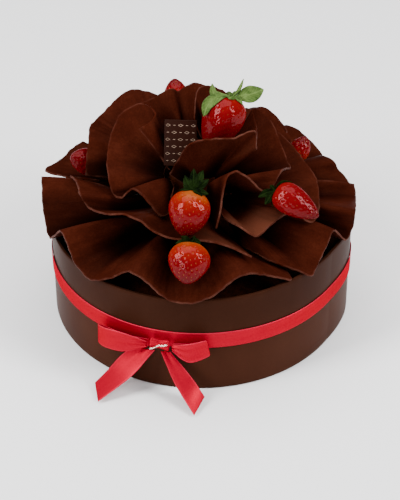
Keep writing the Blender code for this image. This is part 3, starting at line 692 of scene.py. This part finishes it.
def plaque_material():
    """Dark chocolate printed in worn pale gold with rows of diamonds and dashes."""
    mat, tree = new_material("plaque_print", 0.45, specular=0.04)
    spot = node(tree, "SeparateXYZ", Vector=object_vector(tree, 1 / MM))
    x, z = spot.outputs["X"], spot.outputs["Z"]
    wide, high = PRINT_CELL
    row = maths("FLOORED_MODULO", maths("FLOOR", maths("DIVIDE", z, high)), 2)
    along = maths("MULTIPLY_ADD", row, wide / 2, x)
    u = maths("PINGPONG", along, wide / 2)
    v = maths("PINGPONG", maths("ADD", z, high / 2), high / 2)
    diamond = weighed((u, 1 / PRINT_DIAMOND[0]), (v, 1 / PRINT_DIAMOND[1]))
    outline = maths("COMPARE", diamond, *PRINT_OUTLINE)
    dash = maths("MULTIPLY", maths("COMPARE", u, wide / 2, PRINT_DASH[0]),
                 maths("LESS_THAN", v, PRINT_DASH[1]))
    marks = maths("MAXIMUM", outline, dash)
    side = maths("SUBTRACT", PLAQUE_SIZE[0] / 2, maths("ABSOLUTE", x))
    top = maths("SUBTRACT", PLAQUE_SIZE[2] / 2, maths("ABSOLUTE", z))
    inside = maths("GREATER_THAN", maths("MINIMUM", side, top), PRINT_MARGIN)
    print_mask = maths("MULTIPLY", marks, inside)
    wear = grain(tree, 500, 3)
    shown = maths("MULTIPLY", print_mask, maths("MULTIPLY_ADD", wear, 1.1, 0.15))
    base = ramp(shown, (0, (0.013, 0.0034, 0.0017)), (1, (0.24, 0.165, 0.12)))
    return finished(mat, base, print_mask, 0.3, 0.1)


def metal_material():
    """Bright foil of the twisted tie at the knot."""
    mat, tree = new_material("tie_foil", 0.2, base_color=(0.95, 0.8, 0.66), metallic=1)
    return finished(mat, None, grain(tree, 900, 2), 0.5, 0.2)


SHEET = sheet_material()
CUT_EDGE = cut_edge_material()
SATIN = satin_material()
PALE_SEED = seed_material("seed_pale", (0.11, 0.018, 0.003), (0.25, 0.08, 0.014))
RED_SEED = seed_material("seed_red", (0.06, 0.004, 0.0015), (0.15, 0.03, 0.006))


# The cake ---------------

def core_radius(height):
    """Radius of the cake at a height above its shoulder, 0 above its top."""
    radii, heights = zip(*CAKE_TOP)
    return np.interp(height, heights, radii, left=CAKE_RADIUS, right=0)


def add_cake():
    """The cake's body with an uneven, crumbed top."""
    side = CAKE_RADIUS - COLLAR_THICKNESS - GAP
    profile = np.array([(0.01, 0), (side, 0), (side, 30), (side, CAKE_TOP[0][1] - 1), *CAKE_TOP])
    profile[-1, 0] = 0.01
    along = lengths(profile)
    wanted = np.unique(np.concatenate([along, np.arange(0, along[-1], CAKE_SPACING[0])]))
    radius = np.interp(wanted, along, profile[:, 0])
    height = np.interp(wanted, along, profile[:, 1])
    turns = np.radians(np.arange(0, 360, CAKE_SPACING[1]))[:, None]
    rough = wander(wanted + 40 * np.sin(turns * 3), (9, 14, 23), 5) * CRUMB_RELIEF
    rough *= (radius > 1) & (height > CAKE_TOP[0][1])
    points = around(turns, radius - CAKE_INSET + rough, height)
    cake = add_surface("cake_body", points, [cake_material()], closed=True)
    settle(cake, "cake", "cake")


def lap_rise(ahead):
    """How much of the step over its own start the collar has made, from 0 to 1."""
    return np.clip((3 * COLLAR_LAP - ahead) / (2 * COLLAR_LAP), 0, 1)


def add_collar():
    """The chocolate round the cake, not quite even, its rim rounded."""
    sweep = 360 + COLLAR_LAP
    columns, rows = COLLAR_GRID
    angles = COLLAR_SEAM - np.linspace(sweep, 0, columns)
    middle = CAKE_RADIUS - COLLAR_THICKNESS / 2
    rise = lap_rise(COLLAR_SEAM - angles)
    rim = COLLAR_HEIGHT + COLLAR_TILT * np.sin(np.radians(angles))
    rim = rim + COLLAR_WAVE * wander(angles, (23, 41, 67), 2) - 2 * COLLAR_INSET
    share = np.linspace(0, 1, rows)
    bulge = (COLLAR_WAVE * wander(angles, (31, 53, 90), 3)[:, None] * np.sin(np.pi * share)
             + RIM_WAVE * wander(angles, (17, 29), 4)[:, None] * share)
    radius = middle + LAP_STEP * rise[:, None] + bulge - COLLAR_INSET
    height = rim[:, None] * share
    turn = np.radians(angles)[:, None]
    collar = add_surface("collar_band", around(turn, radius, height),
                         [collar_material(), CUT_EDGE], strip=grid(turn * CAKE_RADIUS, height))
    give_thickness(collar, COLLAR_THICKNESS, COLLAR_ROUNDING)
    settle(collar, "collar", "collar")


def rooted(centre, points, inner):
    """Where the ridge from the gather to each point begins, clear of the core."""
    share = np.full(len(points), inner)
    for _ in range(80):
        start = centre + (points - centre) * share[:, None]
        inside = np.hypot(start[:, 0], start[:, 1]) < core_radius(start[:, 2] - ROOT_CLEARANCE)
        if not inside.any():
            break
        share = share + 0.01 * inside
    return centre + (points - centre) * share[:, None]


def add_ruffle(name, gather, inner, droop, edge, seed):
    """A ruffled sheet, its ridges running from the gathered root to the wavy cut edge."""
    centre = np.array(gather, float)
    rim = smooth_path(polar(edge))
    along = np.arange(len(rim)) * EDGE_STEP
    wobble = 0.1 + EDGE_WOBBLE * (0.5 - 0.5 * wander(along, (7, 12, 19), seed))
    rim = rim - unit(rim - centre) * wobble[:, None]
    root = rooted(centre, eased(rim, round(ROOT_EASE / EDGE_STEP)), inner)
    share = np.linspace(0, 1, SHEET_ROWS)
    points = root[:, None] + (rim - root)[:, None] * share[:, None]
    fold = rim - eased(rim, round(FOLD_REACH / EDGE_STEP))
    tangent = unit(np.gradient(rim, axis=0))
    from_end = np.minimum(along, along[-1] - along)
    freedom = 1 + 2 * np.exp(-from_end / SWAY_FADE)
    sway = SWAY * (freedom * wander(along, (30, 55), seed + 20))[:, None] * np.sin(np.pi * share)
    points += tangent[:, None] * sway[:, :, None]
    reach = np.linalg.norm(rim - root, axis=1)[:, None] * share
    ripples = wander(along, (5.5, 9, 15), seed + 50)[:, None] * np.cos(reach / 25 + seed)
    points[:, :, 2] += (droop * 4 * share * (1 - share) + RIPPLE * ripples * (0.3 + 0.7 * share)
                        + FOLD_DEPTH * fold[:, 2:] * (np.sqrt(share) - share))
    # Distance to the cut edge, for its painted highlight
    border = np.minimum(reach[:, -1:] - reach, from_end[:, None] * share)
    border = border + quiet_edge(name, rim)[:, None]
    # Painted shade from the gather and in hollows, times patches of painted sheen or shade
    light = painted_fold_shade(rim, share) * (1 + painted_sheen_and_shade(name, along)[:, None])
    sheet = add_surface(f"ruffle_{name}_sheet", points, [SHEET, CUT_EDGE],
                        strip=grid(along[:, None] + STREAK_SHIFT * seed, reach),
                        edge=grid(border, light))
    give_thickness(sheet, SHEET_THICKNESS, SHEET_ROUNDING, rim_slot=1)
    settle(sheet, "chocolate_sheet", "ruffle_" + name)


def painted_fold_shade(rim, share):
    """Painted shade on a sheet: dark at the gather, full light at its edge, later in hollows."""
    fold = rim - eased(rim, round(SHADE_REACH / EDGE_STEP))
    way = SHADE_WAY[0] * unit(rim * (1, 1, 0)) + (0, 0, SHADE_WAY[1])
    height = (fold * way).sum(axis=1)[:, None] / FOLD_HEIGHT
    hollow = np.clip(-height, 0, 1)
    ridge = np.clip(height, 0, 1)
    start, end = (flat + sunk * hollow + raised * ridge
                  for flat, sunk, raised in (SHADE_START, SHADE_END))
    step = np.clip((share - start) / (end - start), 0, 1)
    return GATHER_LIGHT + (1 - GATHER_LIGHT) * step ** 2 * (3 - 2 * step)


def painted_sheen_and_shade(name, along):
    """How much painted sheen a sheet has along its edge, or below 0 how much painted shade."""
    start, end, amount = PAINTED_SHEEN_AND_SHADE.get(name, (0, 0, 0))
    return amount * np.clip(np.minimum(along - start, end - along) / PAINTED_PATCH_FADE, 0, 1)


def quiet_edge(name, rim):
    """How many mm of painted edge highlight are taken off where a sheet folds in on itself."""
    low, high, widest, lowest = QUIET_EDGES.get(name, (0, 0, 0, 0))
    angle = np.degrees(np.arctan2(rim[:, 0], -rim[:, 1]))
    radius = np.hypot(rim[:, 0], rim[:, 1])
    return QUIET * ((angle > low) & (angle < high) & (radius < widest) & (rim[:, 2] > lowest))


# Ribbon and bow ---------

def strip_mesh(name, first, second, across, pleats=0):
    """A strip of ribbon between two edges, with pleats that fade from its start."""
    share = np.linspace(0, 1, across)
    points = first[:, None] + (second - first)[:, None] * share[:, None]
    middle = (first + second) / 2
    along = lengths(middle)
    if pleats:
        normal = unit(np.cross(np.gradient(middle, axis=0), second - first))
        fade = np.exp(-along / PLEAT_REACH)
        wave = PLEAT_DEPTH * fade[:, None] * np.sin(2 * np.pi * pleats * share + 0.5)
        points = points + normal[:, None] * wave[:, :, None]
    obj = add_surface(name, points, [SATIN], strip=grid(along[:, None], share * RIBBON_WIDTH))
    give_thickness(obj, RIBBON_THICKNESS, 0)
    return obj


def add_ribbon():
    """The ribbon round the collar, snug, its edges a little uneven."""
    angles = COLLAR_SEAM + np.linspace(0, 360, RIBBON_GRID[0])
    ahead = (COLLAR_SEAM - angles) % 360
    fall = np.clip(1 - (360 - ahead) / RIBBON_FALL, 0, 1)
    step = LAP_STEP * np.maximum(lap_rise(ahead), fall)
    radius = CAKE_RADIUS + GAP + RIBBON_THICKNESS / 2 + step
    low = RIBBON_HEIGHT - RIBBON_WIDTH / 2 + RIBBON_SWAY * wander(angles, (90, 120), 8)
    lower = around(np.radians(angles), radius, low)
    band = strip_mesh("ribbon_satin", lower, lower + (0, 0, RIBBON_WIDTH), RIBBON_GRID[1])
    settle(band, "satin_ribbon", "ribbon_band")


def add_bow():
    """Loops, tails and the pleated knot."""
    for name, (first, second) in BOW_STRIPS.items():
        count, pleats = LOOP_FORM if "loop" in name else TAIL_FORM
        upper = smooth_path(polar(first), count)
        lower = smooth_path(polar(second), count)
        strip = strip_mesh(name + "_satin", upper, lower, BOW_ACROSS, pleats)
        settle(strip, "satin_ribbon", name)
    add_knot()


def add_knot():
    """The knot: the ribbon pleated and pinched at its waist by a bright tie."""
    sides, rings = KNOT_GRID
    turn = full_turn(sides)
    level = np.linspace(-1, 1, rings)
    swell = KNOT_WAIST + (1 - KNOT_WAIST) * np.abs(level) ** 1.4
    swell *= np.sqrt(np.clip(1 - level ** 12, 0, 1))
    pleats = 1 + sum(deep * np.sin(many * turn + twist * level)
                     for many, deep, twist in KNOT_PLEATS)
    x = level * KNOT_SIZE[0] / 2
    y = np.cos(turn) * KNOT_SIZE[1] / 2 * swell * pleats
    z = np.sin(turn) * KNOT_SIZE[2] / 2 * swell * pleats
    uv = grid(x, RIBBON_WIDTH * (0.5 + 0.4 * np.sin(3.5 * turn)))
    knot = add_surface("bow_knot_satin", grid(x, y, z), [SATIN], closed=True, strip=uv)
    put_at_knot(knot)
    settle(knot, "satin_ribbon", "bow_knot")
    add_tie()


def put_at_knot(obj):
    """Put a piece at the knot's place, turned to face outwards."""
    obj.location = Vector(polar(KNOT)[0]) * MM
    obj.rotation_euler.z = math.radians(KNOT[0])


def circle_points(turn):
    """(x, y, z) on the unit circle round the X axis."""
    return grid(0, np.cos(turn), np.sin(turn))


def add_tie():
    """Two thin bright wires twisted together across the front of the knot."""
    steps, sides = TIE_GRID
    middle = smooth_path(TIE_PATH, steps - 1)
    twist = np.linspace(-1, 1, steps) * TIE_TURNS * np.pi
    ring = TIE_RADIUS * circle_points(full_turn(sides))
    wires = [middle + TIE_RADIUS * circle_points(start + twist) + ring for start in (0, np.pi)]
    tie = add_surface("bow_tie_wire", wires, [metal_material()], closed=True)
    put_at_knot(tie)
    settle(tie, "satin_ribbon")


# Strawberries -----------

def turned_to(axis):
    """Rotation that takes +Z to the axis and keeps +X as far right as it can be."""
    up = Vector(axis).normalized()
    right = (Vector((1, 0, 0)) - up * up.x).normalized()
    return Matrix((right, up.cross(right), up)).transposed()


def berry_profile(share, blunt):
    """A strawberry's radius as a share of its widest, from 0 at the calyx to 1 at the tip."""
    share = np.clip(share, 1e-4, 1)
    return np.clip(np.sin(np.pi * share ** blunt), 0, 1) ** 0.55 * (1 - 0.08 * share)


def berry_points(share, turn, half_width, half_length, blunt, seed):
    """Positions on a strawberry's uneven skin."""
    lobes = 1 + 0.025 * np.sin(3 * turn + seed) + 0.018 * np.sin(5 * turn + 2 * seed + 4 * share)
    radius = half_width * berry_profile(share, blunt) * lobes * 0.97
    height = half_length * (1 - 2 * share)
    return grid(radius * np.cos(turn), radius * np.sin(turn), height)


def add_berry(name, centre, half_width, half_length, tip, blunt, shoulder, seed):
    """A strawberry with a seed in each of its dimples."""
    share = (1 - np.cos(np.linspace(0, np.pi, BERRY_RINGS))) / 2
    turn = full_turn(BERRY_SIDES)
    form = half_width, half_length, blunt, seed
    skin = berry_points(share, turn, *form)
    seeds, outward = seed_places(form)
    apart = np.linalg.norm(skin[:, :, None] - seeds, axis=3)
    close = apart.min(axis=2) / DIMPLE_RADIUS
    depth = DIMPLE_DEPTH * np.exp(-close ** 2 * DIMPLE_STEEP)
    skin = skin - outward[apart.argmin(axis=2)] * depth[:, :, None]
    berry = add_surface(name + "_flesh", skin, [berry_material(name + "_skin", shoulder)],
                        closed=True, strip=grid(turn * half_width, share))
    berry.location = Vector(centre) * MM
    berry.rotation_euler = turned_to(-Vector(tip)).to_euler()
    settle(berry, "strawberry", name)
    mat = PALE_SEED if shoulder > RIPE_SHOULDER else RED_SEED
    kernels = add_seeds(name, seeds - outward * DIMPLE_DEPTH * 0.9, outward, mat)
    kernels.location = berry.location
    kernels.rotation_euler = berry.rotation_euler
    settle(kernels, "strawberry")


def seed_places(form):
    """Centres of the dimples on a spiral over the skin, and the way out at each."""
    half_width, half_length, _, seed = form
    area = 4 * np.pi * (half_width * 0.8) ** 2 * (0.4 + 0.6 * half_length / half_width)
    count = int(area / SEED_SPACING ** 2)
    k = np.arange(count) + 0.5
    shift = np.random.default_rng(seed).normal(0, 1, (2, count))
    share = np.clip(0.05 + 0.93 * k / count + shift[0] * 0.006, 0.03, 0.99)
    turn = k * np.pi * (3 - 5 ** 0.5) + shift[1] * 0.03
    places = berry_points(share, turn, *form)
    down = berry_points(share + 0.01, turn, *form) - places
    sideways = berry_points(share, turn + 0.02, *form) - places
    outward = unit(np.cross(down, sideways))
    flip = np.sign((outward * places).sum(axis=1))
    return places, outward * flip[:, None]


def add_seeds(name, places, outward, mat):
    """Small pointed seeds, lengthwise down the berry, in one mesh."""
    sides, rings = SEED_GRID
    tilt = np.linspace(0, np.pi, rings)
    turn = full_turn(sides)
    width, length, depth = SEED_SIZE
    narrow = np.sin(tilt) * (0.75 + 0.25 * np.cos(tilt))
    local = grid(np.cos(turn) * narrow * width, np.cos(tilt) * length,
                 np.sin(turn) * narrow * depth)
    down = outward * outward[:, 2:] - (0, 0, 1)
    down /= np.maximum(np.linalg.norm(down, axis=1), 1e-6)[:, None]
    side = np.cross(down, outward)
    frames = np.stack([side, -down, outward], axis=1)
    points = places[:, None, None] + np.einsum("ijk,nkc->nijc", local, frames)
    return add_surface(name + "_seeds", points, [mat], closed=True)


def add_calyx(name, leaves, mat):
    """The leaves at a strawberry's broad end, each cupped along its midrib."""
    centre, half_width, half_length, tip, blunt, _ = BERRIES[name]
    axis = -np.array(Vector(tip).normalized())
    rows, across = LEAF_GRID
    t = np.linspace(0, 1, rows)[:, None]
    side = np.linspace(-1, 1, across)
    points, uvs = [], []
    origin = axis * (half_length + GAP)
    for half_leaf, *line in leaves:
        middle = smooth_path(line, rows - 1)
        forward = unit(np.gradient(middle, axis=0))
        sideways = unit(np.cross(LEAF_FACING, forward))
        facing = np.cross(forward, sideways)
        width = np.maximum(half_leaf * np.sin(np.pi * t ** 0.95) ** 0.75, LEAF_POINT)
        width *= 1 - 0.65 * (t > 0.98)
        out = np.abs(side)
        cup = half_leaf * (LEAF_CUP[0] * out ** 2 - LEAF_CUP[1] * out) * np.sin(np.pi * t)
        wave = LEAF_WAVE * half_leaf * np.sin(9 * t + 3 * side) * out
        surface = (middle[:, None] + sideways[:, None] * (width * side)[:, :, None]
                   + facing[:, None] * (cup + wave)[:, :, None])
        points.append(draped(surface + origin, axis, half_width, half_length, blunt))
        uvs.append(grid(width * side, LEAF_VEINS * t))
    calyx = add_surface(f"calyx_{name}_leaves", points, [mat], strip=uvs)
    calyx.location = Vector(centre) * MM
    give_thickness(calyx, LEAF_THICKNESS, 0)
    settle(calyx, "calyx_leaf", "calyx_" + name)


def draped(points, axis, half_width, half_length, blunt):
    """Points moved out from a strawberry's middle until they are clear of its skin."""
    points = points.copy()
    for _ in range(60):
        along = points @ axis
        apart = np.linalg.norm(points - along[..., None] * axis, axis=-1)
        share = np.clip((1 - along / (half_length + LEAF_LIFT)) / 2, 0, 1)
        inside = apart < half_width * berry_profile(share, blunt) + LEAF_LIFT
        inside &= along < half_length + LEAF_LIFT
        if not inside.any():
            break
        points[inside] *= 1.01
    return points


# Plaque -----------------

def add_plaque():
    """A flat printed plaque with rounded edges."""
    x, y, z = (size / 2 for size in PLAQUE_SIZE)
    corners = [(i * x, j * y, k * z) for i in (-1, 1) for j in (-1, 1) for k in (-1, 1)]
    faces = [(0, 1, 3, 2), (4, 6, 7, 5), (0, 4, 5, 1), (2, 3, 7, 6), (0, 2, 6, 4), (1, 5, 7, 3)]
    plaque = add_mesh("plaque_slab", corners, faces, [plaque_material()])
    soften(plaque, PLAQUE_ROUNDING, segments=3)
    plaque.location = Vector(PLAQUE_CENTRE) * MM
    plaque.rotation_euler = (math.radians(-PLAQUE_LEAN), 0, math.radians(PLAQUE_TURN))
    settle(plaque, "plaque", "plaque")


# Stage ------------------

def add_camera():
    """The camera, level and straight on."""
    data = bpy.data.cameras.new("camera")
    data.lens = CAMERA_LENS
    camera = add_object("camera", data)
    tilt = math.radians(CAMERA_ELEVATION)
    back = Vector((0, -math.cos(tilt), math.sin(tilt)))
    camera.location = CAMERA_TARGET + back * CAMERA_DISTANCE
    camera.rotation_euler = (math.pi / 2 - tilt, 0, 0)
    bpy.context.scene.camera = camera


def add_light(name, size, power, place):
    """A soft rectangular light aimed at the cake."""
    data = bpy.data.lights.new(name, "AREA")
    data.shape = "RECTANGLE"
    data.size, data.size_y = size
    data.energy = power
    light = add_object(name, data)
    light.location = place
    away = Vector(place) - Vector(LIGHT_AIM)
    light.rotation_euler = away.to_track_quat("Z", "Y").to_euler()


def add_stage():
    """A wide pale floor under soft studio lights, in a dim surround."""
    sides = np.array([-FLOOR_REACH, FLOOR_REACH])
    mat, _ = new_material("studio_floor", 0.85, base_color=FLOOR_COLOUR)
    add_surface("floor", grid(sides[:, None], sides, -FLOOR_DROP), [mat])
    for name, light in LIGHTS.items():
        add_light(name, *light)
    world = bpy.data.worlds.new("surround")
    world.use_nodes = True
    shade = world.node_tree.nodes["Background"]
    shade.inputs["Color"].default_value, shade.inputs["Strength"].default_value = SURROUND
    bpy.context.scene.world = world


add_camera()
add_cake()
add_collar()
add_ribbon()
add_bow()
for seed, (ruffle, shape) in enumerate(RUFFLES.items(), 1):
    add_ruffle(ruffle, *shape, seed)
for seed, (berry, shape) in enumerate(BERRIES.items(), 1):
    add_berry("strawberry_" + berry, *shape, seed)
FRESH_LEAF = leaf_material("leaf_fresh", (0.02, 0.045, 0.006), (0.09, 0.142, 0.034), 0.05)
# A darker copy of the leaf green, painted shade, for the calyxes that sit in shadow
SHADED_LEAF = leaf_material("leaf_shaded", (0.0005, 0.0014, 0.0003), (0.0065, 0.0145, 0.0024), 0.01)
for berry, leaves in CALYXES.items():
    add_calyx(berry, leaves, FRESH_LEAF if berry == "top" else SHADED_LEAF)
add_plaque()
add_stage()
